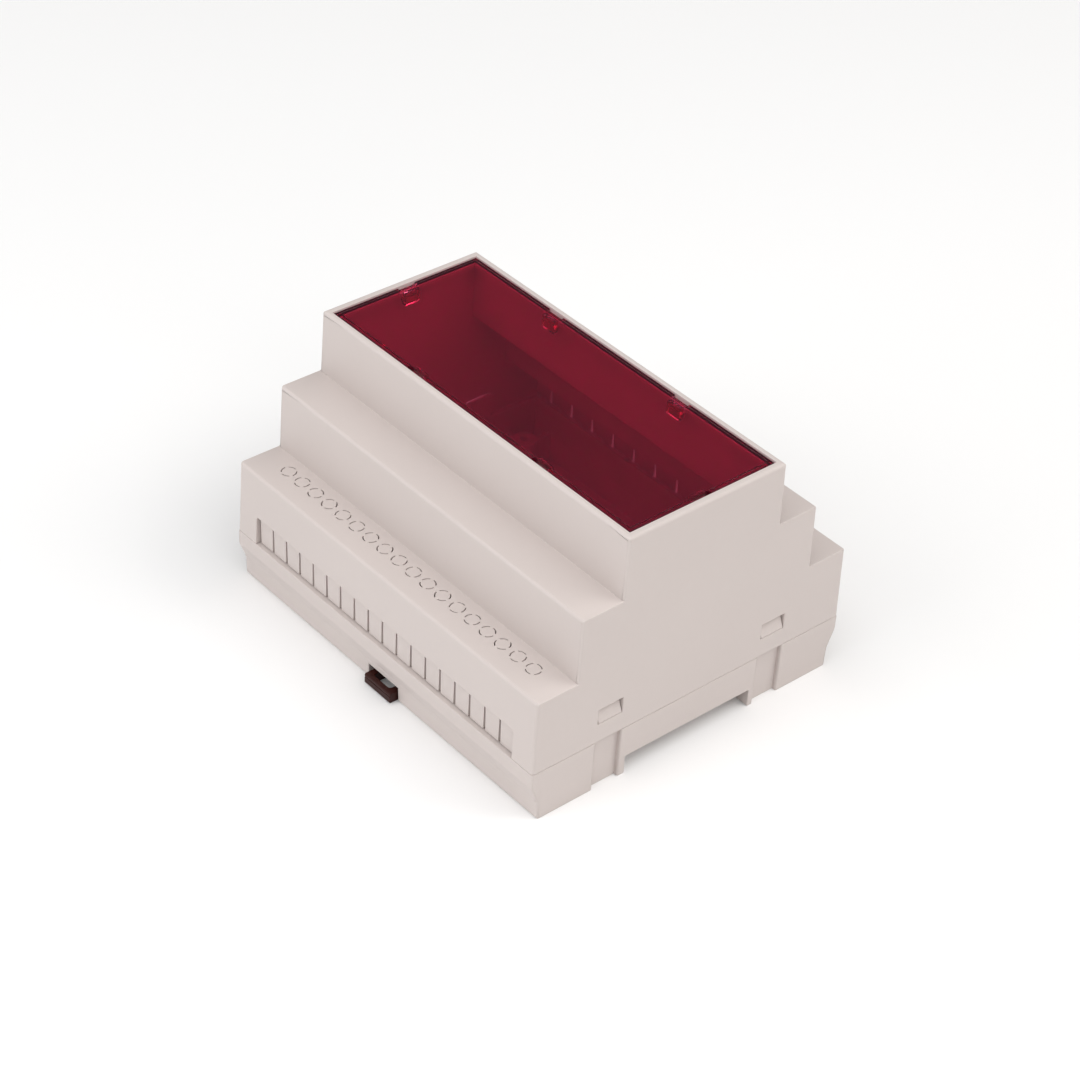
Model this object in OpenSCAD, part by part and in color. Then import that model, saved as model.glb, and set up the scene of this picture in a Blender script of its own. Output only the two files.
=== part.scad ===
// Modular DIN rail enclosure: stepped snap-on cover, rail base, clear red window
// and a sprung rail latch. Millimetres. X runs along the rail, the latch is at -Y,
// and Z = 0 is the underside of the base.

/* [Case] */
// Length of the case along the rail, at the parting line
case_w = 106; // [88:0.5:212]
// Depth of the case across the rail, at the edge of the terminal shelves
case_d = 90; // [86:0.5:100]
// Height of the case from the base's underside to the rim of the window
case_h = 65.5; // [58:0.5:75]
// Height of the parting line between base and cover
parting_z = 13.5; // [12:0.5:16]
// Wall thickness of cover and base
wall = 1.8; // [1.4:0.1:2.2]
// Draft of the front and rear faces, degrees
draft_y = 1.2; // [0.5:0.1:2]
// Draft of the two end faces, degrees
draft_x = 0.9; // [0.5:0.1:2]

/* [Steps] */
// Height of the two terminal shelves
shelf_z = 32.8; // [28:0.2:36]
// Height of the two middle treads
tread_z = 49.4; // [44:0.2:53]
// Depth of the middle block, at its treads
middle_d = 67.4; // [62:0.2:72]
// Depth of the raised front, at its rim
front_d = 44.7; // [40:0.1:48]
// Radius of the outer edges
edge_r = 0.8; // [0.3:0.1:1.2]
// Radius at the foot of each riser
foot_r = 0.5; // [0.2:0.1:1]

/* [Terminals] */
// Terminal pitch along the latch side
front_pitch = 5.08; // [5:0.01:7.62]
// Terminal pitch along the other side
rear_pitch = 7.62; // [5:0.01:10.16]
// Least distance from the case's end to a terminal field
field_margin = 7; // [6:0.5:12]
// Height of the break-out tabs
tab_h = 7.6; // [5:0.1:10]
// Depth of the tab field at its top edge
tab_set_top = 0.8; // [0.5:0.1:1]
// Depth of the tab field at the parting line
tab_set_foot = 1.15; // [0.5:0.05:1.3]
// Width of a slit between tabs at its top
slit_top = 0.45; // [0.3:0.05:0.8]
// Width of a slit between tabs at its foot
slit_foot = 0.8; // [0.4:0.05:1.2]
// Radius of a screw knock-out, to the middle of its cut
knock_r = 1.75; // [1.4:0.05:2.2]
// Width of a knock-out's cut
knock_cut = 0.3; // [0.2:0.05:0.4]
// Width of the bridges that hold a knock-out
knock_bridge = 0.8; // [0.4:0.1:1.2]
// Distance of the knock-outs from the shelf's outer edge
knock_in = 6.85; // [5:0.05:8]

/* [Window] */
// Width of the rim at the ends of the case
rim_end = 1.8; // [1.4:0.1:3]
// Width of the rim along the case
rim_side = 1.5; // [1.2:0.1:3]
// Thickness of the clear plate
plate_t = 1.8; // [1.4:0.1:2.2]
// Gap around the clear plate
plate_gap = 0.2; // [0.1:0.05:0.4]
// Width of the ledge under the clear plate
ledge_w = 1.4; // [1:0.1:2]
// Thickness of that ledge
ledge_t = 1.4; // [1:0.1:2]
// Distance of the side tongues from the middle
tongue_x = 21.1; // [10:0.1:35]
// Width of a tongue
tongue_w = 4.2; // [3:0.1:6]
// Thickness of a tongue
tongue_t = 1.2; // [1:0.1:1.6]
// Reach of a tongue's nose under the ledge
nose_reach = 0.7; // [0.4:0.1:1]
// Width of the notches in the plate above the tongues
notch_w = 4.8; // [4:0.1:7]
// Depth of those notches
notch_in = 1; // [0.6:0.1:1.4]
// Width of the lowered border of the plate
border_w = 1; // [0.6:0.1:2]
// Depth of the lowered border
border_drop = 0.3; // [0.1:0.05:0.5]

/* [Snaps] */
// Distance of the side snaps from the middle
snap_y = 24; // [22.8:0.1:30]
// Width of a snap window
snap_w = 7; // [5:0.1:10]
// Height of a snap window's lower edge
snap_z = 18.5; // [17:0.1:22]
// Height of a snap window
snap_h = 4.1; // [3:0.1:6]
// Width of a snap arm
arm_w = 5.6; // [4:0.1:6.4]
// Thickness of a snap arm
arm_t = 1.6; // [1.2:0.1:2]
// Set-back of a snap arm's nose at its top
nose_slope = 1.3; // [0.8:0.1:1.5]
// Depth of the relief in the base below a snap
relief_in = 1.1; // [0.6:0.1:1.4]
// Width of that relief
relief_w = 6.6; // [6:0.1:10]
// Shift of both reliefs towards the latch side
relief_shift = 0.7; // [0:0.1:1]
// Height of the locating lip inside the cover
lip_h = 3; // [2:0.1:4]
// Thickness of the locating lip
lip_t = 1.2; // [1:0.1:1.6]
// Gap between the locating lip and the cover
lip_gap = 0.15; // [0.1:0.05:0.3]
// Open seam between cover and base
seam = 0.1; // [0.05:0.05:0.3]

/* [Rail] */
// Width of the rail the base clips on
rail_w = 35; // [35:0.1:35]
// Thickness of the rail's flanges
rail_t = 1; // [1:0.1:1.5]
// Depth of the rail channel
channel_h = 4.8; // [4.4:0.1:6]
// Gap between the rail and the fixed side of its channel
channel_gap_rear = 1.2; // [0.5:0.1:1.5]
// Gap between the rail and the latch side of its channel
channel_gap_front = 0.9; // [0.5:0.1:1.5]
// Overlap of hooks and latch under the rail's flanges
hook_bite = 1.2; // [0.8:0.1:1.6]
// Gap between the rail's flange and the hooks under it
hook_gap = 0.2; // [0.1:0.05:0.4]
// Distance of the fixed hooks from the middle
hook_x = 30; // [20:0.5:40]
// Length of a fixed hook along the rail
hook_w = 12; // [6:0.5:20]

/* [Base] */
// Height where the base's outer lip ends
flush_z = 9.7; // [8.5:0.1:11]
// Height where the base's lower block begins
block_z = 5.1; // [4:0.1:6]
// Inset of the lower block from the parting line
block_in = 1.9; // [1:0.1:2.5]
// Distance of the board pillars from the middle, along the rail
pillar_x = 44; // [30:0.5:44]
// Distance of the board pillars from the middle, across the rail
pillar_y = 34; // [26:0.5:37]
// Height of the board pillars' tops
pillar_top = 10.5; // [9:0.5:12]
// Radius of a board pillar
pillar_r = 3; // [2.5:0.1:3.5]
// Radius of a pillar's pilot hole
pilot_r = 1.1; // [0.9:0.05:1.4]
// Depth of a pillar's pilot hole
pilot_h = 7; // [5:0.5:8]
// Thickness of the ribs on the pillars and under the floor
rib_t = 1.2; // [0.8:0.1:1.6]

/* [Latch] */
// Pull of the latch from closed to open
latch_travel = 3.5; // [3:0.1:4]
// Width of the latch's pull loop
loop_w = 9.2; // [8:0.1:11]
// Thickness of the pull loop
loop_t = 2.7; // [2.2:0.1:3]
// Width of the opening in the pull loop
loop_hole_w = 5.9; // [5:0.1:6.5]
// Length of the opening in the pull loop
loop_hole_l = 5; // [4.4:0.1:6]
// Thickness of the pull loop's front bar
loop_bar = 1.3; // [1:0.1:2]
// Width of the notch the latch leaves the base by
exit_w = 11.4; // [10:0.1:12]
// Height of that notch and of the latch's groove
groove_h = 3.9; // [3.6:0.1:4.2]
// Width of the latch's guide flanges, over both
flange_w = 13.6; // [13:0.1:15]
// Height of the guide lips under the flanges
guide_h = 1.2; // [1:0.1:1.4]
// Play of the latch in its guides
latch_play = 0.15; // [0.1:0.05:0.3]
// Length of each pair of guide lips
guide_l = 5.6; // [4:0.1:6]
// Radius of the latch's spring legs
leg_r = 7.5; // [6:0.1:8]
// Thickness of the spring legs
leg_t = 1; // [0.8:0.1:1.4]

/* [Hidden] */
e = 0.01;
far = 400;
arc_steps = 4;
fix_fn = 48;

ty = tan(draft_y);
tx = tan(draft_x);

// Half depth of a drafted riser at height z, from its value at its top
function riser(d, top, z) = d / 2 + ty * (top - z);
// Half length of the drafted case at height z
function half_w(z) = case_w / 2 - tx * (z - parting_z);

half_d = riser(case_d, shelf_z, parting_z);
seat_z = case_h - plate_t;
win_x = half_w(case_h) - rim_end;
win_y = riser(front_d, case_h, case_h) - rim_side;
open_x = win_x - ledge_w;
open_y = win_y - ledge_w;

// Terminal fields: how many whole pitches go between the margins
front_n = floor((case_w - 2 * field_margin) / front_pitch);
rear_n = floor((case_w - 2 * field_margin) / rear_pitch);
field_w = front_n * front_pitch;
tab_top = parting_z + tab_h;
knock_y = case_d / 2 - knock_in;

// Base and channel
lip_out_x = case_w / 2 - wall - lip_gap;
lip_out_y = half_d - wall - lip_gap;
lip_in_x = lip_out_x - lip_t;
lip_in_y = lip_out_y - lip_t;
block_y = half_d - block_in;
channel_front = -rail_w / 2 - channel_gap_front;
channel_rear = rail_w / 2 + channel_gap_rear;
roof_in = channel_h + wall;
hook_top = channel_h - rail_t - hook_gap;
hook_tip = rail_w / 2 - hook_bite;

// Latch
latch_front = -half_d;
groove_w = flange_w + 2 * latch_play;
guide_gap_w = loop_w + 2 * latch_play + 0.8;
front_wall_in = -block_y + wall;
guide_front_end = front_wall_in + guide_l - 1.6;
guide_rear_start = channel_front - guide_l;
flange_start = front_wall_in + latch_travel + 0.05;
shoulder_end = guide_rear_start - 0.05;
slide_z0 = 0.1;
flange_z0 = guide_h + latch_play;
flange_z1 = groove_h - latch_play;
leg_cx = flange_w / 2 - 1;
leg_cy = shoulder_end - leg_r - 1.2;
pad_r = 0.75;
pad_x = leg_cx + leg_r;
cam_rest = pad_x + pad_r + 0.4;
cam_open = pad_x + pad_r + 0.1;
housing_x = cam_rest + wall;

abs_col = "#d8cec8";
red_col = [0.47, 0.05, 0.11, 0.85];
black_col = "#2a2423";

// Unit vector
function unit(v) = v / norm(v);

// Points of one corner b between a and c, turned into an arc of radius r
function corner_arc(a, b, c, r) =
    let (
        u = unit(a - b),
        v = unit(c - b),
        half = acos(u * v) / 2,
        m = b + unit(u + v) * r / sin(half),
        p = b + u * r / tan(half) - m,
        q = b + v * r / tan(half) - m,
        a0 = atan2(p[1], p[0]),
        turn = (atan2(q[1], q[0]) - a0 + 540) % 360 - 180
    )
    [for (k = [0 : arc_steps]) m + r * [cos(a0 + turn * k / arc_steps), sin(a0 + turn * k / arc_steps)]];

// Outline with each corner rounded by its own radius, given as [x, y, r]
function rounded(p) =
    let (n = len(p))
    [for (i = [0 : n - 1])
        let (
            a = p[(i + n - 1) % n],
            b = p[i],
            c = p[(i + 1) % n]
        )
        each b[2] == 0
            ? [[b[0], b[1]]]
            : corner_arc([a[0], a[1]], [b[0], b[1]], [c[0], c[1]], b[2])];

// A half section and its mirror, as one closed outline
function both_sides(half) =
    concat(half, [for (i = [len(half) - 1 : -1 : 0]) [-half[i][0], half[i][1], half[i][2]]]);

// Extrudes a Y-Z outline along X, between x0 and x1
module along_x(x0, x1) {
    translate([x0, 0, 0])
        rotate([90, 0, 90])
            linear_extrude(x1 - x0)
                children();
}

// Extrudes an X-Z outline along Y, between y0 and y1
module along_y(y0, y1) {
    translate([0, y1, 0])
        rotate([90, 0, 0])
            linear_extrude(y1 - y0)
                children();
}

// Box from its two corners
module block(lo, hi) {
    translate(lo)
        cube(hi - lo);
}

// Four mirrored copies
module quarters() {
    for (sx = [0, 1], sy = [0, 1])
        mirror([sx, 0, 0])
            mirror([0, sy, 0])
                children();
}

// Two copies mirrored across the middle of the case's length
module both_ends() {
    for (s = [0, 1])
        mirror([s, 0, 0])
            children();
}

// ---------------------------------------------------------------- cover

// Stepped half section of the cover, thinner by t all round
function cover_half(t, low, r1, r2) = [
    [riser(case_d, shelf_z, low) - t, low, 0],
    [riser(case_d, shelf_z, shelf_z - t) - t, shelf_z - t, r1],
    [riser(middle_d, tread_z, shelf_z - t) - t, shelf_z - t, r2],
    [riser(middle_d, tread_z, tread_z - t) - t, tread_z - t, r1],
    [riser(front_d, case_h, tread_z - t) - t, tread_z - t, r2],
    [riser(front_d, case_h, case_h) - t, case_h, t == 0 ? r1 : 0]
];

// End outline of the cover: the draft of its two ends
function cover_end(t, low, top, r) = [
    [half_w(low) - t, low, 0],
    [half_w(top) - t, top, r]
];

// Cuts one upright corner, which leans with both drafts, to a radius
module corner_cut(x, y, z0, z1, r) {
    run = norm([tx, ty, 1]);
    translate([x, y, z0])
        rotate([asin(ty / run), atan(-tx), 0])
            translate([0, 0, -2])
                linear_extrude((z1 - z0) * run + 4)
                    polygon(concat(
                        [[2, 2], [-r - 0.02, 2], [-r - 0.02, 0.6]],
                        [for (k = [0 : arc_steps])
                            [-r + r * sin(90 * k / arc_steps), -r + r * cos(90 * k / arc_steps)]],
                        [[0.6, -r - 0.02], [2, -r - 0.02]]
                    ));
}

// Drafted and stepped outer form
module cover_form() {
    difference() {
        intersection() {
            along_x(-case_w, case_w)
                polygon(rounded(both_sides(cover_half(0, parting_z + seam, edge_r, foot_r))));
            along_y(-case_d, case_d)
                polygon(rounded(both_sides(cover_end(0, parting_z + seam, case_h, edge_r))));
        }
        quarters() {
            corner_cut(half_w(parting_z), half_d, parting_z, shelf_z, edge_r);
            corner_cut(half_w(shelf_z), riser(middle_d, tread_z, shelf_z), shelf_z + 2.2, tread_z, edge_r);
            corner_cut(half_w(tread_z), riser(front_d, case_h, tread_z), tread_z + 2.2, case_h, edge_r);
        }
    }
}

// Hollow of the cover, up to the ledge under the window
module cover_hollow() {
    intersection() {
        along_x(-case_w, case_w)
            polygon(rounded(both_sides(cover_half(wall, parting_z - 1, 0.4, 0.4))));
        along_y(-case_d, case_d)
            polygon(rounded(both_sides(cover_end(wall, parting_z - 1, case_h, 0))));
        block([-far, -far, 0], [far, far, seat_z - ledge_t]);
    }
}

// Field of break-out tabs on one side, cut to its slits: n tabs of one pitch
module tab_field(n, pitch) {
    // Recessed face of the tabs, deeper at the parting line
    along_x(-field_w / 2, field_w / 2)
        polygon([
            [half_d + 1, parting_z - 1],
            [half_d - tab_set_foot, parting_z - 1],
            [riser(case_d, shelf_z, tab_top) - tab_set_top, tab_top],
            [half_d + 1, tab_top + 0.3]
        ]);
    // Slits between the tabs, wider at the foot
    for (i = [1 : n - 1])
        translate([(i - n / 2) * pitch, 0, 0])
            along_y(half_d - wall - 1, half_d + 1)
                polygon([
                    [-slit_foot / 2, parting_z - 1],
                    [slit_foot / 2, parting_z - 1],
                    [slit_top / 2, tab_top - 0.2],
                    [-slit_top / 2, tab_top - 0.2]
                ]);
    // Tabs end just above the parting line
    block([-n * pitch / 2, half_d - wall - 1, parting_z - 1], [n * pitch / 2, half_d + 1, parting_z + 0.3]);
}

// One knock-out: a ring cut through the shelf, held by four bridges
module knock_out(turn) {
    difference() {
        cylinder(r = knock_r + knock_cut / 2, h = wall + 2, $fn = fix_fn);
        translate([0, 0, -e])
            cylinder(r = knock_r - knock_cut / 2, h = wall + 3, $fn = fix_fn);
        for (k = [0 : 1])
            rotate([0, 0, turn + 90 * k])
                translate([-knock_r - 1, -knock_bridge / 2, -1])
                    cube([2 * knock_r + 2, knock_bridge, wall + 4]);
    }
}

// Row of knock-outs over n terminals; each is clocked a little further than the last
module knock_row(n, pitch, step) {
    for (i = [0 : n - 1])
        translate([(i - (n - 1) / 2) * pitch, knock_y, shelf_z - wall - 1])
            knock_out(20 + step * i);
}

// Window opening, its ledge and the recess for the plate
module window_cut() {
    block([-open_x, -open_y, seat_z - ledge_t - 1], [open_x, open_y, case_h + 1]);
    block([-win_x, -win_y, seat_z], [win_x, win_y, case_h + 1]);
}

// Snap window in an end wall
module snap_window() {
    block(
        [case_w / 2 - wall - 2, snap_y - snap_w / 2, snap_z],
        [case_w / 2 + 1, snap_y + snap_w / 2, snap_z + snap_h]
    );
}

module cover() {
    color(abs_col)
        difference() {
            cover_form();
            cover_hollow();
            window_cut();
            tab_field(rear_n, rear_pitch);
            mirror([0, 1, 0])
                tab_field(front_n, front_pitch);
            knock_row(rear_n, rear_pitch, 23);
            mirror([0, 1, 0])
                knock_row(front_n, front_pitch, 23);
            quarters()
                snap_window();
        }
}

// ---------------------------------------------------------------- base

// Outer section of the base, with the rail channel in its underside
module base_section() {
    polygon(rounded([
        [half_d, parting_z, 0],
        [half_d, flush_z, 3],
        [block_y, block_z, 0.5],
        [block_y - 0.25, 0, 0.6],
        [channel_rear, 0, 0.4],
        [channel_rear, channel_h, 0.3],
        [channel_front, channel_h, 0.3],
        [channel_front, 0, 0.4],
        [-block_y + 0.25, 0, 0.6],
        [-block_y, block_z, 0.5],
        [-half_d, flush_z, 3],
        [-half_d, parting_z, 0]
    ]));
}

// Hollow of the base: a tray with a pocket on each side of the channel
module base_hollow() {
    along_x(-lip_in_x, lip_in_x)
        polygon([
            [-lip_in_y, parting_z + lip_h + 1],
            [-lip_in_y, flush_z - 1.5],
            [-block_y + wall, wall],
            [channel_front - wall, wall],
            [channel_front - wall, roof_in],
            [channel_rear + wall, roof_in],
            [channel_rear + wall, wall],
            [block_y - wall, wall],
            [lip_in_y, flush_z - 1.5],
            [lip_in_y, parting_z + lip_h + 1]
        ]);
}

// Locating lip that stands inside the cover
module locating_lip() {
    difference() {
        block([-lip_out_x, -lip_out_y, parting_z - 1], [lip_out_x, lip_out_y, parting_z + lip_h]);
        block([-lip_in_x, -lip_in_y, parting_z - 2], [lip_in_x, lip_in_y, parting_z + lip_h + 1]);
    }
}

// Snap arm: rises from the side wall, with a wedge nose in the cover's snap window
module snap_arm() {
    nose_z = snap_z + 0.1;
    top_z = snap_z + snap_h - 0.2;
    out_x = half_w(snap_z) - 0.05;
    face_x = lip_out_x - 0.1;
    along_y(snap_y - arm_w / 2, snap_y + arm_w / 2)
        polygon([
            [lip_out_x - arm_t, roof_in - 0.5],
            [face_x, roof_in - 0.5],
            [face_x, nose_z],
            [out_x, nose_z],
            [out_x, nose_z + 0.3],
            [out_x - nose_slope, top_z - 0.2],
            [face_x, top_z],
            [face_x - 0.8, top_z + 1],
            [lip_out_x - arm_t, top_z + 1]
        ]);
}

// Reliefs in the outside of the base under the snap arms of one end
module snap_reliefs() {
    for (y = [-snap_y - relief_shift, snap_y - relief_shift])
        block(
            [case_w / 2 - relief_in, y - relief_w / 2, -1],
            [case_w / 2 + 1, y + relief_w / 2, parting_z + 1]
        );
}

// Fixed hook under the rail's rear flange
module rail_hook() {
    along_x(hook_x - hook_w / 2, hook_x + hook_w / 2)
        polygon([
            [channel_rear + 1, 0],
            [hook_tip + 1.2, 0],
            [hook_tip, 1.4],
            [hook_tip, hook_top],
            [channel_rear + 1, hook_top]
        ]);
}

// Opening in the channel's roof above a fixed hook
module hook_core() {
    block(
        [hook_x - hook_w / 2, hook_tip - 0.3, channel_h - 0.5],
        [hook_x + hook_w / 2, channel_rear, roof_in + 1]
    );
}

// Closed housing over the latch's groove
module latch_housing() {
    block([-housing_x, -block_y + 0.6, 1], [housing_x, channel_front - 0.5, groove_h + wall]);
}

// Groove in the underside that the latch slides in, with the pocket of its legs
module latch_groove() {
    // Notch in the front face
    block([-exit_w / 2, -half_d - 1, -1], [exit_w / 2, front_wall_in + e, groove_h]);
    // Guide groove through to the rail channel
    block([-groove_w / 2, front_wall_in, -1], [groove_w / 2, channel_front + 1, groove_h]);
    // Pocket of the spring legs, narrowing towards the front
    translate([0, 0, -1])
        linear_extrude(groove_h + 1)
            polygon([
                [-cam_rest, guide_rear_start],
                [cam_rest, guide_rear_start],
                [cam_rest, leg_cy + pad_r],
                [cam_open, leg_cy - latch_travel - pad_r],
                [cam_open, guide_front_end],
                [-cam_open, guide_front_end],
                [-cam_open, leg_cy - latch_travel - pad_r],
                [-cam_rest, leg_cy + pad_r]
            ]);
    // Relief in the channel's roof over the latch's tip
    block(
        [-groove_w / 2, channel_front - 0.5, channel_h - 1],
        [groove_w / 2, -hook_tip + 0.3, channel_h + 0.5]
    );
}

// Guide lips under the latch's flanges
module guide_lips() {
    both_ends() {
        block([guide_gap_w / 2, front_wall_in - e, 0], [groove_w / 2 + e, guide_front_end, guide_h]);
        block([guide_gap_w / 2, guide_rear_start, 0], [groove_w / 2 + e, channel_front - 0.4, guide_h]);
    }
}

// Pillar for a board screw, tied to the end wall and the long wall by two ribs
module pillar() {
    translate([pillar_x, pillar_y, wall - e])
        cylinder(r = pillar_r, h = pillar_top - wall + e, $fn = fix_fn);
    block([pillar_x, pillar_y - rib_t / 2, wall - e], [lip_in_x + e, pillar_y + rib_t / 2, pillar_top - 1.5]);
    block([pillar_x - rib_t / 2, pillar_y, wall - e], [pillar_x + rib_t / 2, lip_in_y + e, pillar_top - 1.5]);
}

// Pilot hole of a pillar
module pilot() {
    translate([pillar_x, pillar_y, pillar_top - pilot_h])
        cylinder(r = pilot_r, h = pilot_h + 1, $fn = fix_fn);
}

module base() {
    color(abs_col)
        difference() {
            union() {
                difference() {
                    along_x(-case_w / 2, case_w / 2)
                        base_section();
                    base_hollow();
                    both_ends()
                        snap_reliefs();
                }
                locating_lip();
                quarters() {
                    snap_arm();
                    pillar();
                }
                both_ends()
                    rail_hook();
                difference() {
                    latch_housing();
                    latch_groove();
                }
                guide_lips();
            }
            quarters()
                pilot();
            both_ends()
                hook_core();
            difference() {
                latch_groove();
                guide_lips();
            }
        }
}

// ---------------------------------------------------------------- window

// Plate with its lowered border, notches above the tongues, and six snap tongues
module filter_window() {
    px = win_x - plate_gap;
    py = win_y - plate_gap;
    color(red_col)
        union() {
            difference() {
                union() {
                    block([-px, -py, seat_z], [px, py, case_h - border_drop]);
                    block([-px + border_w, -py + border_w, seat_z], [px - border_w, py - border_w, case_h]);
                }
                for (sx = [-1, 1], sy = [-1, 1])
                    block(
                        [sx * tongue_x - notch_w / 2, sy > 0 ? py - notch_in : -py - 1, seat_z - 1],
                        [sx * tongue_x + notch_w / 2, sy > 0 ? py + 1 : -py + notch_in, case_h + 1]
                    );
                both_ends()
                    block([px - notch_in, -notch_w / 2, seat_z - 1], [px + 1, notch_w / 2, case_h + 1]);
            }
            for (sx = [-1, 1], sy = [0, 1])
                mirror([0, sy, 0])
                    translate([sx * tongue_x, open_y - plate_gap, 0])
                        tongue();
            both_ends()
                translate([open_x - plate_gap, 0, 0])
                    rotate([0, 0, -90])
                        tongue();
        }
}

// Snap tongue that hangs from the plate, its nose towards +Y under the ledge
module tongue() {
    low = seat_z - ledge_t - 1.8;
    along_x(-tongue_w / 2, tongue_w / 2)
        polygon([
            [-tongue_t, seat_z + 0.2],
            [0, seat_z + 0.2],
            [0, seat_z - ledge_t - 0.1],
            [nose_reach, seat_z - ledge_t - 0.1],
            [nose_reach, seat_z - ledge_t - 0.5],
            [0, low],
            [-tongue_t, low]
        ]);
}

// ---------------------------------------------------------------- latch

// Pull loop, slider, guide flanges, hook tip and two spring legs in one moulding
module rail_latch() {
    color(black_col)
        union() {
            difference() {
                union() {
                    // Pull loop and neck
                    along_x(-loop_w / 2, loop_w / 2)
                        polygon(rounded([
                            [latch_front, slide_z0, 0.4],
                            [latch_front, slide_z0 + loop_t, 0.4],
                            [front_wall_in + 0.3, slide_z0 + loop_t, 0],
                            [front_wall_in + 0.3, slide_z0, 0]
                        ]));
                    // Slider between the guide lips, with the hook tip
                    along_x(-loop_w / 2, loop_w / 2)
                        polygon([
                            [front_wall_in + 0.2, slide_z0],
                            [-hook_tip - 1.2, slide_z0],
                            [-hook_tip, 1.4],
                            [-hook_tip, hook_top],
                            [channel_front - 0.6, hook_top],
                            [channel_front - 0.6, flange_z1],
                            [front_wall_in + 1, flange_z1],
                            [front_wall_in + 0.2, slide_z0 + loop_t]
                        ]);
                    // Guide flanges and the shoulder of the legs
                    block([-flange_w / 2, flange_start, flange_z0], [flange_w / 2, channel_front - 0.6, flange_z1]);
                    block(
                        [-leg_cx - 4, shoulder_end - 2.4, flange_z0],
                        [leg_cx + 4, shoulder_end, flange_z1]
                    );
                }
                // Opening of the pull loop
                translate([0, 0, -1])
                    linear_extrude(groove_h + 2)
                        polygon(rounded([
                            [-loop_hole_w / 2, latch_front + loop_bar, 0.8],
                            [loop_hole_w / 2, latch_front + loop_bar, 0.8],
                            [loop_hole_w / 2, latch_front + loop_bar + loop_hole_l, 0.8],
                            [-loop_hole_w / 2, latch_front + loop_bar + loop_hole_l, 0.8]
                        ]));
                // Fine groove across the front bar
                block(
                    [-far, latch_front - 1, slide_z0 + loop_t * 0.66],
                    [far, latch_front + 0.15, slide_z0 + loop_t * 0.66 + 0.15]
                );
            }
            both_ends()
                spring_leg();
        }
}

// One curved spring leg with its rubbing pad
module spring_leg() {
    translate([0, 0, flange_z0])
        linear_extrude(flange_z1 - flange_z0) {
            intersection() {
                difference() {
                    translate([leg_cx, leg_cy])
                        circle(r = leg_r + leg_t / 2, $fn = fix_fn);
                    translate([leg_cx, leg_cy])
                        circle(r = leg_r - leg_t / 2, $fn = fix_fn);
                }
                translate([leg_cx + 3, leg_cy])
                    square([far, shoulder_end - leg_cy - 0.5]);
            }
            translate([pad_x, leg_cy])
                circle(r = pad_r, $fn = fix_fn);
        }
}

cover();
base();
filter_window();
rail_latch();
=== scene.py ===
"""Looks of a stepped DIN rail enclosure: matt moulded housing, clear red plate, black rail latch.

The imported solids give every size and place. Each moulding is finished from a copy of its own solid:
the flat faces are cleaned, the edges are eased as a mould tool leaves them, and it is dressed in its
own procedural finish. Lengths are metres in the frame's own axes: X runs along the rail, the latch is
at -Y and Z = 0 is the plane that the base stands on.
"""

import logging
import math
from dataclasses import dataclass
from enum import Enum
from typing import Callable, Sequence, Union

import bmesh
import bpy
from mathutils import Matrix, Vector


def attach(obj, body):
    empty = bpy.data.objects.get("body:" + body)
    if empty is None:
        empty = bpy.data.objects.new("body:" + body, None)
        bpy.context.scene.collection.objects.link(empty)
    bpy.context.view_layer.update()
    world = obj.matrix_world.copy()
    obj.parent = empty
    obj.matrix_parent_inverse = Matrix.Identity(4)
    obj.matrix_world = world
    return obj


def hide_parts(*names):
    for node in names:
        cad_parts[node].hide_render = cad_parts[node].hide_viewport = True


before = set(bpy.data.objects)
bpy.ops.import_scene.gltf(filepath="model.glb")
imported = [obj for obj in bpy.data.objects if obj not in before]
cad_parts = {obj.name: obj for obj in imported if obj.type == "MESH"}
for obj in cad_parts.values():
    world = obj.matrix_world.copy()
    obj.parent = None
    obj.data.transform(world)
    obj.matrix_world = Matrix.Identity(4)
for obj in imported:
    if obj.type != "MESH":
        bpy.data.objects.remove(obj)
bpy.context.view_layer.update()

LOG = logging.getLogger("enclosure")
MM = 0.001
TOUCH = 0.01 * MM
SPLIT = 0.0001 * MM

Colour = tuple[float, float, float]
Number = Union[int, float]


# ------------------------------------------------------------------ shader maths


class Blend(Enum):
    """Ways in which one colour is laid over another."""

    MIX = "MIX"
    MULTIPLY = "MULTIPLY"


class Solid(Enum):
    """Ways in which one solid works on another."""

    CUT = "DIFFERENCE"
    JOIN = "UNION"


class Wire:
    """One socket of a shader graph that reads as arithmetic."""

    def __init__(self, graph: "Graph", socket: bpy.types.NodeSocket) -> None:
        """Wraps a socket.

        Args:
            graph: the graph that the socket belongs to.
            socket: the output that the expression continues from.
        """
        self.graph = graph
        self.socket = socket

    def _maths(self, operation: str, *operands: "Operand") -> "Wire":
        """Adds one Math node and returns its result."""
        return self.graph.node("ShaderNodeMath", {"operation": operation}, dict(enumerate(operands)))

    def __add__(self, other: "Operand") -> "Wire":
        """This plus other."""
        return self._maths("ADD", self, other)

    __radd__ = __add__

    def __sub__(self, other: "Operand") -> "Wire":
        """This minus other."""
        return self._maths("SUBTRACT", self, other)

    def __rsub__(self, other: "Operand") -> "Wire":
        """Other minus this."""
        return self._maths("SUBTRACT", other, self)

    def __mul__(self, other: "Operand") -> "Wire":
        """This times other."""
        return self._maths("MULTIPLY", self, other)

    __rmul__ = __mul__

    def __lt__(self, other: "Operand") -> "Wire":
        """1 where this is less than other, and 0 elsewhere."""
        return self._maths("LESS_THAN", self, other)

    def __gt__(self, other: "Operand") -> "Wire":
        """1 where this is more than other, and 0 elsewhere."""
        return self._maths("GREATER_THAN", self, other)


Operand = Union[Wire, Number]


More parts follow.
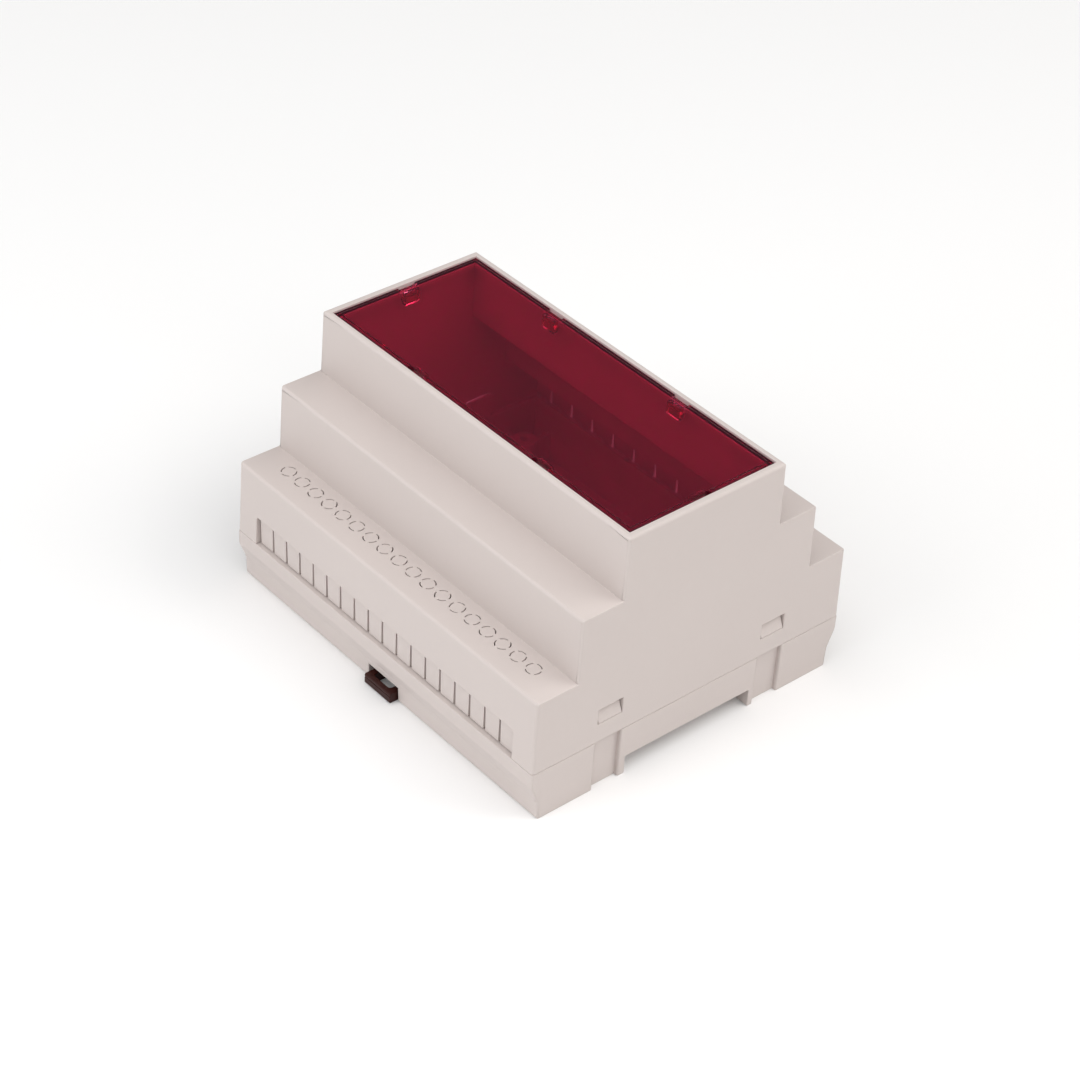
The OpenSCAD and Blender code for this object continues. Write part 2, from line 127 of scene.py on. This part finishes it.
class Graph:
    """The node graph of one material."""

    # Numbers of the Mix node's colour sockets, which share their names with its other sockets.
    MIX_UNDER, MIX_OVER, MIX_RESULT = 6, 7, 2

    def __init__(self, name: str) -> None:
        """Makes an empty material.

        Args:
            name: the material's name.
        """
        self.material = bpy.data.materials.new(name)
        self.material.use_nodes = True
        self.tree = self.material.node_tree
        self.tree.nodes.clear()

    def node(
        self,
        kind: str,
        settings: dict[str, object] | None = None,
        inputs: dict[Union[int, str], object] | None = None,
        output: Union[int, str] = 0,
    ) -> Wire:
        """Adds one node.

        Args:
            kind: the node's type.
            settings: attributes set before the sockets, such as an operation.
            inputs: values or wires for sockets, by name or number.
            output: the output to go on from, by name or number.

        Returns:
            The chosen output.
        """
        made = self.tree.nodes.new(kind)
        for key, value in (settings or {}).items():
            setattr(made, key, value)
        for key, value in (inputs or {}).items():
            if isinstance(value, Wire):
                self.tree.links.new(value.socket, made.inputs[key])
            else:
                made.inputs[key].default_value = value
        return Wire(self, made.outputs[output])

    def place(self) -> Wire:
        """The point on the piece, in metres."""
        return self.node("ShaderNodeTexCoord", output="Object")

    def noise(self, cell: float, detail: float = 2.0, roughness: float = 0.5) -> Wire:
        """Soft noise from 0 to 1.

        Args:
            cell: size of one blot, in metres.
            detail: number of finer layers.
            roughness: strength of the finer layers.

        Returns:
            The noise at the point.
        """
        inputs = {"Vector": self.place(), "Scale": 1.0 / cell, "Detail": detail, "Roughness": roughness}
        return self.node("ShaderNodeTexNoise", inputs=inputs)

    def specks(self, cell: float, size: float, share: float, seed: float, least: float = 0.35) -> Wire:
        """Small scattered dots.

        Args:
            cell: distance between the places where a dot may lie, in metres.
            size: radius of the largest dot, in metres.
            share: share of those places that hold a dot.
            seed: shifts the pattern.
            least: size of the smallest dot, as a share of the largest.

        Returns:
            1 on a dot and 0 elsewhere.
        """
        shifted = {0: self.place(), 1: (seed, seed, seed)}
        shift = self.node("ShaderNodeVectorMath", {"operation": "ADD"}, shifted)
        cells = self.node("ShaderNodeTexVoronoi", inputs={"Vector": shift, "Scale": 1.0 / cell})
        colour = Wire(self, cells.socket.node.outputs["Color"])
        chance = self.node("ShaderNodeSeparateColor", inputs={0: colour})
        spread = Wire(self, chance.socket.node.outputs[1])
        return (chance < share) * (cells < (least + (1.0 - least) * spread) * (size / cell))

    def blend(self, factor: Operand, under: object, over: object, way: Blend = Blend.MIX) -> Wire:
        """Lays one colour over another.

        Args:
            factor: how much of the upper colour shows.
            under: the lower colour.
            over: the upper colour.
            way: how the two are joined.

        Returns:
            The joined colour.
        """
        settings = {"data_type": "RGBA", "blend_type": way.value}
        inputs = {0: factor, self.MIX_UNDER: self._rgba(under), self.MIX_OVER: self._rgba(over)}
        return self.node("ShaderNodeMix", settings, inputs, output=self.MIX_RESULT)

    def bump(self, height: Wire, depth: float, under: Wire | None = None) -> Wire:
        """Turns a height into a normal.

        Args:
            height: relief from 0 to 1.
            depth: its full depth, in metres.
            under: a normal that this one is laid on.

        Returns:
            The normal.
        """
        inputs: dict[Union[int, str], object] = {"Height": height, "Distance": depth, "Strength": 1.0}
        if under is not None:
            inputs["Normal"] = under
        return self.node("ShaderNodeBump", inputs=inputs)

    def finish(self, shader: Wire) -> bpy.types.Material:
        """Sends a shader to the material's surface and returns the material."""
        surface = self.tree.nodes.new("ShaderNodeOutputMaterial")
        self.tree.links.new(shader.socket, surface.inputs["Surface"])
        return self.material

    @staticmethod
    def _rgba(colour: object) -> object:
        """A plain colour as the four numbers of a socket, and a wire as it is."""
        return colour if isinstance(colour, Wire) else (*colour, 1.0)


# ------------------------------------------------------------------ finishes


@dataclass(frozen=True)
class EtchedAbs:
    """Opaque styrene plastic from an evenly etched mould."""

    name: str
    colour: Colour
    roughness: float
    gloss: float
    index: float = 1.5
    grain: float = 0.22 * MM
    grain_depth: float = 0.004 * MM
    grain_polish: float = 0.06
    flow: float = 26 * MM
    flow_shade: float = 0.035
    flow_polish: float = 0.04
    smoothest: float = 0.05
    fine_grains: float = 6.0
    fine_share: float = 0.5
    speck_colour: Colour = (0.1, 0.085, 0.08)
    speck_size: float = 0.16 * MM
    speck_share: float = 0.02
    speck_cell: float = 9 * MM
    speck_seed: float = 0.37

    def build(self) -> bpy.types.Material:
        """Builds the material: base colour, faint flow shading, etched grain and a few dark specks."""
        graph = Graph(self.name)
        flow = graph.noise(self.flow, detail=3.0)
        fine = graph.noise(self.grain * self.fine_grains, detail=2.0)
        shade = 1.0 - self.flow_shade * flow - self.fine_share * self.flow_shade * fine
        tint = graph.node("ShaderNodeCombineColor", inputs={0: shade, 1: shade, 2: shade})
        body = graph.blend(1.0, self.colour, tint, Blend.MULTIPLY)
        specks = graph.specks(self.speck_cell, self.speck_size, self.speck_share, self.speck_seed)
        body = graph.blend(specks, body, self.speck_colour)
        grain = graph.noise(self.grain, detail=2.0, roughness=0.6)
        roughness = self.roughness - self.smoothest + self.grain_polish * grain + self.flow_polish * flow
        shader = graph.node(
            "ShaderNodeBsdfPrincipled",
            inputs={
                "Base Color": body,
                "Roughness": roughness,
                "IOR": self.index,
                "Specular IOR Level": self.gloss,
                "Normal": graph.bump(grain, self.grain_depth),
            },
        )
        return graph.finish(shader)


@dataclass(frozen=True)
class TintedAcrylic:
    """Polished clear plastic in one deep colour, with the dust that lies on it."""

    name: str
    colour: Colour
    roughness: float
    clearness: float = 0.97
    gloss: float = 0.25
    index: float = 1.49
    dust_colour: Colour = (0.62, 0.42, 0.44)
    dust_size: float = 0.17 * MM
    dust_share: float = 0.16
    dust_cell: float = 5 * MM
    dust_seed: float = 0.13
    dust_cover: float = 0.8
    dust_roughness: float = 0.9
    dust_gloss: float = 0.2
    fine_cell: float = 2.6 * MM
    fine_seed: float = 0.61
    fine_share: float = 0.5
    haze: float = 3 * MM
    haze_dull: float = 0.02
    wave: float = 14 * MM
    wave_depth: float = 0.01 * MM

    def build(self) -> bpy.types.Material:
        """Builds the material: clear tinted body, a faint wave of the polish, and dust specks."""
        graph = Graph(self.name)
        wave = graph.noise(self.wave, detail=1.0)
        haze = graph.noise(self.haze, detail=3.0)
        clear = graph.node(
            "ShaderNodeBsdfPrincipled",
            inputs={
                "Base Color": (*self.colour, 1.0),
                "Roughness": self.roughness + self.haze_dull * haze,
                "IOR": self.index,
                "Transmission Weight": self.clearness,
                "Specular IOR Level": self.gloss,
                "Normal": graph.bump(wave, self.wave_depth),
            },
        )
        dust = graph.node(
            "ShaderNodeBsdfPrincipled",
            inputs={
                "Base Color": (*self.dust_colour, 1.0),
                "Roughness": self.dust_roughness,
                "Specular IOR Level": self.dust_gloss,
            },
        )
        fine_size, fine_share = self.fine_share * self.dust_size, self.fine_share * self.dust_share
        fine = graph.specks(self.fine_cell, fine_size, fine_share, self.fine_seed)
        coarse = graph.specks(self.dust_cell, self.dust_size, self.dust_share, self.dust_seed)
        dots = graph.node("ShaderNodeMath", {"operation": "MAXIMUM"}, {0: fine, 1: coarse})
        mixed = graph.node("ShaderNodeMixShader", inputs={0: dots * self.dust_cover, 1: clear, 2: dust})
        return graph.finish(mixed)


@dataclass(frozen=True)
class PaleSheet:
    """Plain matt sheet that the object stands on."""

    name: str
    colour: Colour
    roughness: float = 0.9
    gloss: float = 0.1
    blot: float = 400 * MM
    darkest: float = 0.985

    def build(self) -> bpy.types.Material:
        """Builds the material: one pale tone with a very faint unevenness."""
        graph = Graph(self.name)
        dark = tuple(self.darkest * part for part in self.colour)
        tone = graph.blend(graph.noise(self.blot), self.colour, dark)
        shader = graph.node(
            "ShaderNodeBsdfPrincipled",
            inputs={"Base Color": tone, "Roughness": self.roughness, "Specular IOR Level": self.gloss},
        )
        return graph.finish(shader)


# ------------------------------------------------------------------ mesh work


class Axis(Enum):
    """Directions of the frame."""

    X = 0
    Y = 1
    Z = 2

    def vector(self) -> Vector:
        """The unit vector of this direction."""
        return Vector([float(self.value == index) for index in range(3)])


@dataclass(frozen=True)
class Guide:
    """A plane across a piece that cuts its wide flat faces into plain ones."""

    axis: Axis
    offset: float


class Bench:
    """Edit-mode work on one mesh."""

    def __init__(self, piece: bpy.types.Object) -> None:
        """Takes one piece to the bench.

        Args:
            piece: the object to work on.
        """
        self.piece = piece

    def __enter__(self) -> "Bench":
        """Selects the piece alone and opens it in edit mode."""
        for other in list(bpy.context.selected_objects):
            other.select_set(False)
        bpy.context.view_layer.objects.active = self.piece
        self.piece.select_set(True)
        bpy.ops.object.mode_set(mode="EDIT")
        bpy.ops.mesh.select_mode(type="EDGE")
        return self

    def __exit__(self, *_: object) -> None:
        """Closes edit mode and puts the piece down."""
        bpy.ops.object.mode_set(mode="OBJECT")
        self.piece.select_set(False)

    def clean(self, weld: float, flat: float) -> None:
        """Joins loose triangles into whole flat faces.

        Args:
            weld: distance within which points become one, in metres.
            flat: angle below which two faces are one, in radians.
        """
        bpy.ops.mesh.select_all(action="SELECT")
        bpy.ops.mesh.remove_doubles(threshold=weld)
        bpy.ops.mesh.dissolve_limited(angle_limit=flat)

    def split(self, guide: Guide) -> None:
        """Splits every face along one plane and leaves the new edges selected."""
        way = guide.axis.vector()
        bpy.ops.mesh.select_all(action="SELECT")
        bpy.ops.mesh.bisect(plane_co=way * guide.offset, plane_no=way, threshold=SPLIT)

    def cut(self, guides: Sequence[Guide], flat: float) -> None:
        """Cuts the faces along guides, so that each is a plain one without holes.

        Args:
            guides: the planes to cut along.
            flat: angle below which two faces on one side of a guide are one, in radians.
        """
        for guide in guides:
            self.split(guide)
            bpy.ops.mesh.mark_seam(clear=False)
        bpy.ops.mesh.select_all(action="SELECT")
        bpy.ops.mesh.dissolve_limited(angle_limit=flat, delimit={"SEAM"})

    def round_edges(self, rule: Callable[[bmesh.types.BMEdge], bool], radius: float, steps: int) -> None:
        """Rounds every edge that a rule picks.

        Args:
            rule: says whether an edge is rounded.
            radius: radius of the round, in metres.
            steps: number of faces across the round.
        """
        bpy.ops.mesh.select_all(action="DESELECT")
        shape = bmesh.from_edit_mesh(self.piece.data)
        picked = [edge for edge in shape.edges if edge.is_manifold and rule(edge)]
        for edge in picked:
            edge.select = True
        bmesh.update_edit_mesh(self.piece.data)
        if picked:
            bpy.ops.mesh.bevel(offset=radius, segments=steps, profile=0.5, clamp_overlap=False)

    def move_plane(self, axis: Axis, start: float, end: float, rule: Callable[[Vector], bool]) -> None:
        """Moves the points that lie in one plane to another plane.

        Args:
            axis: the direction across both planes.
            start: where the plane is, in metres.
            end: where it goes, in metres.
            rule: says whether a point of the plane goes along.
        """
        self._pick(lambda point: abs(point[axis.value] - start) < TOUCH and rule(point))
        bpy.ops.transform.translate(value=axis.vector() * (end - start))
        bpy.ops.mesh.select_mode(type="EDGE")

    def tighten(self, centre: Vector, share: float, rule: Callable[[Vector], bool]) -> None:
        """Draws points towards a line along X, which makes a fillet tighter.

        Args:
            centre: a point on the line.
            share: what is left of each point's distance from the line.
            rule: says whether a point is drawn in.
        """
        self._pick(rule)
        bpy.ops.transform.resize(value=(1.0, share, share), center_override=centre)
        bpy.ops.mesh.select_mode(type="EDGE")

    def _pick(self, rule: Callable[[Vector], bool]) -> None:
        """Selects the points that a rule picks."""
        bpy.ops.mesh.select_mode(type="VERT")
        bpy.ops.mesh.select_all(action="DESELECT")
        shape = bmesh.from_edit_mesh(self.piece.data)
        for point in shape.verts:
            point.select = rule(point.co)
        bmesh.update_edit_mesh(self.piece.data)


def middle(edge: bmesh.types.BMEdge) -> Vector:
    """The middle of an edge."""
    return (edge.verts[0].co + edge.verts[1].co) / 2


def both_signs(*offsets: float) -> list[float]:
    """Each offset with its mirror image."""
    return [sign * offset for offset in offsets for sign in (-1, 1)]


@dataclass
class Moulding:
    """A moulded piece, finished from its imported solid."""

    name: str
    node: str
    body: str
    slot: str
    finish: Union[EtchedAbs, TintedAcrylic]
    edge_radius: float = 0.16 * MM
    steps: int = 2
    sharp_angle: float = math.radians(25)
    smooth_angle: float = math.radians(50)
    weld: float = 0.012 * MM
    flat_angle: float = math.radians(0.3)

    def guides(self) -> list[Guide]:
        """Planes that the wide faces are cut along."""
        return [Guide(Axis.X, 0.0), Guide(Axis.Y, 0.0)]

    def shape(self, piece: bpy.types.Object) -> None:
        """Adds forms of this piece to the cleaned copy of its solid."""

    def round_corners(self, bench: Bench) -> None:
        """Gives this piece's large corners their radii."""

    def is_eased(self, place: Vector) -> bool:
        """Whether a sharp edge at this place is eased."""
        return True

    def build(self) -> bpy.types.Object:
        """Builds the piece's mesh.

        Returns:
            The finished object, at the origin, with its place in its mesh.
        """
        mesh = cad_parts[self.node].data.copy()
        mesh.materials.clear()
        piece = bpy.data.objects.new(self.name, mesh)
        bpy.context.scene.collection.objects.link(piece)
        with Bench(piece) as bench:
            bench.clean(self.weld, self.flat_angle)
        self.shape(piece)
        with Bench(piece) as bench:
            bench.cut(self.guides(), self.flat_angle)
            self.round_corners(bench)
            bench.round_edges(self._is_sharp, self.edge_radius, self.steps)
        with bpy.context.temp_override(object=piece, active_object=piece, selected_objects=[piece]):
            bpy.ops.object.shade_smooth_by_angle(angle=self.smooth_angle)
        weighted = piece.modifiers.new("even_faces", "WEIGHTED_NORMAL")
        weighted.keep_sharp = True
        return piece

    def _is_sharp(self, edge: bmesh.types.BMEdge) -> bool:
        """Whether an edge stands out sharply and is eased."""
        sharp = edge.is_convex and edge.calc_face_angle(0.0) > self.sharp_angle
        return sharp and self.is_eased(middle(edge))

    def dress(self, piece: bpy.types.Object) -> None:
        """Gives the piece its finish and its body, and hides the imported solid that it is copied from."""
        piece.data.materials.append(self.finish.build())
        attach(piece, self.body)
        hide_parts(self.node)

    def make(self) -> bpy.types.Object:
        """Builds and dresses the piece."""
        piece = self.build()
        self.dress(piece)
        LOG.info("%s: %d faces on body %s", self.name, len(piece.data.polygons), self.body)
        return piece


@dataclass
class Cover(Moulding):
    """Stepped cover: the fields of break-out tabs get the slits at their two ends."""

    front_pitch: float = 5.08 * MM
    rear_pitch: float = 7.62 * MM
    field_width: float = 91.44 * MM
    shelf_top: float = 32.8 * MM
    knock_row: float = 38.15 * MM
    knock_radius: float = 2.2 * MM
    snap_row: float = 24 * MM
    face_y: float = 45.4 * MM
    wall: float = 1.8 * MM
    slit_low: float = 12.5 * MM
    slit_high: float = 20.9 * MM
    slit_foot: float = 0.6 * MM
    slit_top: float = 0.4 * MM
    slit_radius: float = 0.05 * MM
    slit_margin: float = 0.1 * MM
    tread_top: float = 49.4 * MM
    rim_top: float = 65.5 * MM
    middle_depth: float = 67.4 * MM
    front_depth: float = 44.7 * MM
    draft: float = math.radians(1.2)
    foot_reach: float = 0.62 * MM
    foot_margin: float = 0.05 * MM
    foot_share: float = 0.2
    face_guide: float = 25 * MM

    def guides(self) -> list[Guide]:
        """Planes through the knock-outs, the snap windows and the middle."""
        guides = [Guide(Axis.Y, row) for row in both_signs(self.knock_row, self.snap_row)]
        guides += [Guide(Axis.Y, 0.0), Guide(Axis.Z, self.face_guide)]
        for pitch in (self.front_pitch, self.rear_pitch):
            count = round(self.field_width / pitch)
            guides += [Guide(Axis.X, (index - (count - 1) / 2) * pitch) for index in range(count)]
        return guides

    def shape(self, piece: bpy.types.Object) -> None:
        """Tightens the feet of the risers and cuts the slits at both ends of both tab fields."""
        blocks = (
            (self.middle_depth, self.shelf_top, self.tread_top),
            (self.front_depth, self.tread_top, self.rim_top),
        )
        with Bench(piece) as bench:
            for depth, foot, top in blocks:
                reach = depth / 2 + (top - foot) * math.tan(self.draft)
                for side in (-1, 1):
                    self._tighten_foot(bench, side * reach, foot)
        for x in both_signs(self.field_width / 2):
            for y in both_signs(self.face_y - self.wall / 2):
                combine(piece, self._slit(x, y), Solid.CUT)

    def _tighten_foot(self, bench: Bench, y: float, z: float) -> None:
        """Makes the fillet at the foot of one riser tighter."""

        def in_fillet(point: Vector) -> bool:
            outwards = (point.y - y) * math.copysign(1.0, y)
            return -self.foot_margin < outwards < self.foot_reach and -TOUCH < point.z - z < self.foot_reach

        bench.tighten(Vector((0.0, y, z)), self.foot_share, in_fillet)

    def _slit(self, x: float, y: float) -> bpy.types.Object:
        """Models the cutter of one slit, narrower at its top.

        Args:
            x: place of the slit along the case.
            y: place of the wall that it goes through.

        Returns:
            The cutter.
        """
        level = (self.slit_low + self.slit_high) / 2
        size = (self.slit_foot, 3 * self.wall, self.slit_high - self.slit_low)
        cutter = block(Vector((x, y, level)), size)
        with Bench(cutter) as bench:
            for side in (-1, 1):
                foot, top = x + side * self.slit_foot / 2, x + side * self.slit_top / 2
                bench.move_plane(Axis.X, foot, top, lambda point: point.z > level)
        return cutter

    def round_corners(self, bench: Bench) -> None:
        """Eases the edges of the tabs' slits, which are too close for the common radius."""
        bench.round_edges(
            lambda edge: edge.is_convex
            and edge.calc_face_angle(0.0) > self.sharp_angle
            and self._is_slit(middle(edge)),
            self.slit_radius,
            self.steps,
        )

    def _is_slit(self, place: Vector) -> bool:
        """Whether an edge belongs to the tabs and their slits."""
        inside = abs(place.x) < self.field_width / 2 + self.slit_foot
        low = place.z < self.slit_high + self.slit_margin
        return inside and low and abs(place.y) > self.face_y - 2 * self.wall

    def is_eased(self, place: Vector) -> bool:
        """Every sharp edge but those of the slits and the knock-outs."""
        in_row = abs(self.knock_row - abs(place.y)) < self.knock_radius
        on_shelf = abs(place.z - self.shelf_top) < self.wall + self.slit_margin
        inside = abs(place.x) < self.field_width / 2
        return not self._is_slit(place) and not (in_row and on_shelf and inside)


@dataclass
class Base(Moulding):
    """Rail base: its upright corners are rounded, and its reliefs lie under the snap windows."""

    end_x: float = 53 * MM
    snap_row: float = 24 * MM
    relief_width: float = 7.3 * MM
    old_relief_width: float = 6.6 * MM
    old_relief_shift: float = 0.7 * MM
    relief_radius: float = 0.4 * MM
    arm_width: float = 6.6 * MM
    old_arm_width: float = 5.6 * MM
    arm_foot: float = 6 * MM
    relief_depth: float = 1.5 * MM
    arm_depth: float = 4 * MM
    corner_radius: float = 0.45 * MM
    corner_steps: int = 3
    corner_from: float = 43 * MM
    lip_x: float = 50.45 * MM
    lip_y: float = 42.85 * MM
    notch_x: float = 5.7 * MM
    notch_right: float = 4.95 * MM
    notch_y: float = -41 * MM
    ridge_foot: tuple[float, float] = (43.45 * MM, 5.0 * MM)
    ridge_tip: tuple[float, float] = (43.8 * MM, 5.2 * MM)
    ridge_top: tuple[float, float] = (43.95 * MM, 6.2 * MM)
    ridge_root: float = 43 * MM
    hook_edges: tuple[float, ...] = (44 * MM, 30 * MM, 16 * MM, 6 * MM)
    floor_edge: float = 34 * MM
    wall_guide: float = 12 * MM

    def guides(self) -> list[Guide]:
        """Planes through the lip, the snaps, the hooks and the latch's groove."""
        along = both_signs(self.lip_x, *self.hook_edges)
        across = both_signs(self.lip_y, self.floor_edge, self.snap_row)
        guides = [Guide(Axis.X, offset) for offset in [0.0, *along]]
        guides += [Guide(Axis.Y, offset) for offset in [0.0, *across]]
        return guides + [Guide(Axis.Z, self.wall_guide)]

    def shape(self, piece: bpy.types.Object) -> None:
        """Sets the reliefs and the snap arms under the windows and adds the two drip edges."""
        relief_x, arm_x = self.end_x - self.relief_depth, self.end_x - self.arm_depth
        with Bench(piece) as bench:
            for centre in both_signs(self.snap_row):
                for side in (-1, 1):
                    bench.move_plane(
                        Axis.Y,
                        centre - self.old_relief_shift + side * self.old_relief_width / 2,
                        centre + side * self.relief_width / 2,
                        lambda point: abs(point.x) > relief_x,
                    )
                    bench.move_plane(
                        Axis.Y,
                        centre + side * self.old_arm_width / 2,
                        centre + side * self.arm_width / 2,
                        lambda point: abs(point.x) > arm_x and point.z > self.arm_foot,
                    )
            bench.move_plane(Axis.X, self.notch_x, self.notch_right, lambda point: point.y < self.notch_y)
        for side in (-1, 1):
            combine(piece, self._ridge(side), Solid.JOIN)

    def _ridge(self, side: int) -> bpy.types.Object:
        """Models the drip edge where the slope ends above the lower block.

        Args:
            side: -1 for the latch side and 1 for the other.

        Returns:
            The ridge, as a closed bar along the case.
        """
        (foot_y, foot_z), (tip_y, tip_z), (top_y, top_z) = self.ridge_foot, self.ridge_tip, self.ridge_top
        middle_y = side * (self.ridge_root + top_y) / 2
        size = (2 * (self.end_x - self.corner_radius), top_y - self.ridge_root, top_z - foot_z)
        ridge = block(Vector((0.0, middle_y, (foot_z + top_z) / 2)), size)
        with Bench(ridge) as bench:
            bench.split(Guide(Axis.Z, tip_z))
            for y, z in ((tip_y, tip_z), (foot_y, foot_z)):
                bench.move_plane(Axis.Y, side * top_y, side * y, lambda point: abs(point.z - z) < TOUCH)
        return ridge

    def round_corners(self, bench: Bench) -> None:
        """Rounds the four upright corners and the mouths of the reliefs."""
        bench.round_edges(self._is_upright_corner, self.corner_radius, self.corner_steps)
        bench.round_edges(self._is_relief_mouth, self.relief_radius, self.corner_steps)

    def _at_end(self, edge: bmesh.types.BMEdge) -> bool:
        """Whether an edge lies in one of the two end faces."""
        return all(abs(point.co.x) > self.end_x - TOUCH for point in edge.verts)

    def _is_upright_corner(self, edge: bmesh.types.BMEdge) -> bool:
        """Whether an edge belongs to one of the four upright corners."""
        outside = all(abs(point.co.y) > self.corner_from for point in edge.verts)
        upright = abs(edge.verts[0].co.z - edge.verts[1].co.z) > TOUCH
        return self._at_end(edge) and outside and upright and edge.calc_face_angle(0.0) > self.sharp_angle

    def _is_relief_mouth(self, edge: bmesh.types.BMEdge) -> bool:
        """Whether an edge belongs to the upright mouth of a relief."""
        offset = abs(abs(middle(edge).y) - self.snap_row)
        level = all(abs(abs(abs(point.co.y) - self.snap_row) - offset) < TOUCH for point in edge.verts)
        return self._at_end(edge) and level and abs(offset - self.relief_width / 2) < TOUCH


@dataclass
class ClearPlate(Moulding):
    """Clear plate with its six tongues."""

    tongue_x: float = 21.1 * MM

    def guides(self) -> list[Guide]:
        """Planes through the middle and the tongues."""
        along = [Guide(Axis.X, offset) for offset in [0.0, *both_signs(self.tongue_x)]]
        return along + [Guide(Axis.Y, 0.0)]


@dataclass
class Latch(Moulding):
    """Black latch with its pull loop and spring legs."""

    loop_y: float = -42 * MM
    slider_y: float = -30 * MM
    neck_x: float = 5.5 * MM

    def guides(self) -> list[Guide]:
        """Planes through the loop, the slider and the neck."""
        along = [Guide(Axis.X, offset) for offset in [0.0, *both_signs(self.neck_x)]]
        return along + [Guide(Axis.Y, self.loop_y), Guide(Axis.Y, self.slider_y)]


def block(centre: Vector, size: Sequence[float]) -> bpy.types.Object:
    """Models a plain block.

    Args:
        centre: its middle.
        size: its lengths along X, Y and Z.

    Returns:
        The block, at the origin, with its place in its mesh.
    """
    bpy.ops.object.select_all(action="DESELECT")
    bpy.ops.mesh.primitive_cube_add(size=1.0, calc_uvs=False, location=centre)
    made = bpy.context.active_object
    made.scale = size
    bpy.ops.object.transform_apply(location=True, rotation=True, scale=True)
    return made


def combine(piece: bpy.types.Object, tool: bpy.types.Object, way: Solid) -> None:
    """Cuts a solid out of a piece or joins it on, and throws the solid away.

    Args:
        piece: the object that is changed.
        tool: the solid that is taken out or joined on.
        way: whether the solid is cut out or joined on.
    """
    step = piece.modifiers.new("solid", "BOOLEAN")
    step.operation = way.value
    step.solver = "EXACT"
    step.object = tool
    bpy.ops.object.select_all(action="DESELECT")
    bpy.context.view_layer.objects.active = piece
    piece.select_set(True)
    bpy.ops.object.modifier_apply(modifier=step.name)
    piece.select_set(False)
    spare = tool.data
    bpy.data.objects.remove(tool)
    bpy.data.meshes.remove(spare)


# ------------------------------------------------------------------ stage


@dataclass(frozen=True)
class SoftLight:
    """A square soft box."""

    name: str
    place: Vector
    aim: Vector
    size: float
    power: float
    colour: Colour = (1.0, 1.0, 1.0)

    def build(self) -> None:
        """Hangs the soft box and turns it to its aim."""
        data = bpy.data.lights.new(self.name, "AREA")
        data.shape = "SQUARE"
        data.size = self.size
        data.energy = self.power
        data.color = self.colour
        lamp = bpy.data.objects.new(self.name, data)
        lamp.location = self.place
        lamp.rotation_euler = (self.aim - self.place).to_track_quat("-Z", "Y").to_euler()
        bpy.context.scene.collection.objects.link(lamp)


@dataclass(frozen=True)
class Studio:
    """Floor, light and camera."""

    aim: Vector
    azimuth: float = 47.312
    elevation: float = 37.343
    roll: float = 4.031
    distance: float = 635.93 * MM
    lens: float = 93.764
    sensor: float = 36.0
    nearest: float = 10 * MM
    floor_size: float = 9.0
    floor_colour: Colour = (0.9, 0.9, 0.9)
    ambient: float = 0.07
    ambient_colour: Colour = (1.0, 1.0, 1.0)

    def build(self) -> None:
        """Builds the whole studio."""
        self._floor()
        self._lights()
        self._camera()

    def _floor(self) -> None:
        """Lays the pale floor under the object."""
        bpy.ops.object.select_all(action="DESELECT")
        bpy.ops.mesh.primitive_plane_add(size=self.floor_size, location=(0, 0, 0))
        floor = bpy.context.active_object
        floor.name = "floor"
        floor.data.materials.append(PaleSheet("floor_sheet", self.floor_colour).build())

    def _lights(self) -> None:
        """Sets the even ambient light and the soft boxes."""
        world = bpy.data.worlds.new("studio")
        bpy.context.scene.world = world
        world.use_nodes = True
        sky = world.node_tree.nodes["Background"]
        sky.inputs["Color"].default_value = (*self.ambient_colour, 1.0)
        sky.inputs["Strength"].default_value = self.ambient
        for light in (
            SoftLight("overhead", Vector((0.35, -0.35, 1.7)), self.aim, size=2.8, power=41.0),
            SoftLight("front", Vector((-0.4, -1.1, 0.55)), self.aim, size=1.1, power=7.5),
            SoftLight("end", Vector((1.15, -0.25, 0.55)), self.aim, 1.1, 2.4, colour=(1.0, 0.96, 0.92)),
            SoftLight("rear", Vector((0.8, 0.9, 1.1)), self.aim, 1.0, 9.0, colour=(1.0, 0.97, 0.94)),
        ):
            light.build()

    def _camera(self) -> None:
        """Sets the camera at its angle, looking at the aim."""
        data = bpy.data.cameras.new("camera")
        data.lens = self.lens
        data.sensor_width = self.sensor
        data.clip_start = self.nearest
        camera = bpy.data.objects.new("camera", data)
        turn, lift = math.radians(self.azimuth), math.radians(self.elevation)
        back = Vector((math.sin(turn) * math.cos(lift), -math.cos(turn) * math.cos(lift), math.sin(lift)))
        level = (-back).to_track_quat("-Z", "Y").to_matrix()
        rotation = level @ Matrix.Rotation(math.radians(self.roll), 3, "Z")
        camera.matrix_world = Matrix.Translation(self.aim + back * self.distance) @ rotation.to_4x4()
        bpy.context.scene.collection.objects.link(camera)
        bpy.context.scene.camera = camera


# ------------------------------------------------------------------ whole


def main() -> None:
    """Builds the studio and every piece, in order."""
    logging.basicConfig(level=logging.INFO, format="%(name)s: %(message)s")
    bpy.context.scene.view_settings.view_transform = "Standard"
    Studio(aim=Vector((2.992, -1.873, 25.46)) * MM).build()
    housing = EtchedAbs("housing_abs", (0.61, 0.545, 0.52), roughness=0.5, gloss=0.4)
    acrylic = TintedAcrylic("red_acrylic", (0.95, 0.15, 0.3), roughness=0.02)
    nylon = EtchedAbs("latch_nylon", (0.035, 0.008, 0.006), roughness=0.4, gloss=0.2, speck_share=0.0)
    Cover("cover_shell", "cover", "housing", "housing_plastic", housing).make()
    Base("base_tray", "base", "housing", "housing_plastic", housing).make()
    ClearPlate("clear_plate", "filter_window", "housing", "red_clear_plastic", acrylic).make()
    Latch("latch_slider", "rail_latch", "latch", "latch_plastic", nylon, edge_radius=0.12 * MM).make()


if __name__ == "__main__":
    main()
